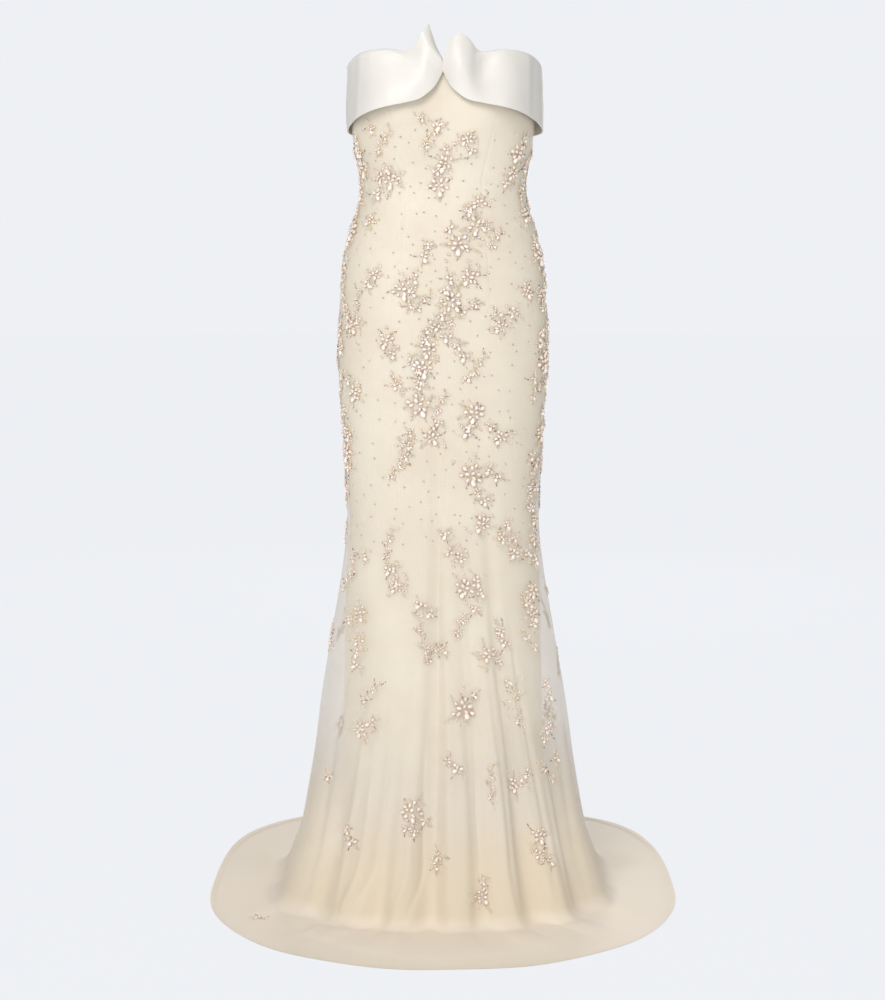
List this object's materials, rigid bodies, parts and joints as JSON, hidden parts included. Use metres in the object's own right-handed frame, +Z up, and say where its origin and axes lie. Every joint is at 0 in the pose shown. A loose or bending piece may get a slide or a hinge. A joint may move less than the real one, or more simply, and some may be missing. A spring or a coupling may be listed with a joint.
{
  "type": "strapless gown",
  "caption": "Fitted strapless gown with a turned-down satin collar ending in petals, beaded tulle over a lining, and a flared hem spreading on the floor.",
  "frame": {"origin": "centre of the waist, where the wearer's body holds the gown", "axes": "+Z up, +X towards the viewer's right when seen from the front, the front faces -Y"},
  "size_m": [0.746, 0.8041, 1.362],
  "materials": {
    "beaded_tulle": "matt net over lining, with glass beads",
    "lining": "soft matt",
    "satin": "satin",
    "zip_metal": "lacquered to match the cloth"
  },
  "bodies": {
    "body": {"front_panel": "beaded_tulle", "back_panel_left": "beaded_tulle", "back_panel_right": "beaded_tulle", "lining_skirt_front": "lining", "lining_skirt_back": "lining", "collar_left": "satin", "collar_right": "satin", "zip_slider": "zip_metal"},
    "zip_pull": {"zip_pull": "zip_metal"}
  },
  "joints": [
    {"name": "pull_tab", "type": "hinge", "parent": "body", "child": "zip_pull", "pos_m": [0, 0.08923, 0.19043], "axis": [1, 0, 0], "range_deg": [0, 150]}
  ]
}
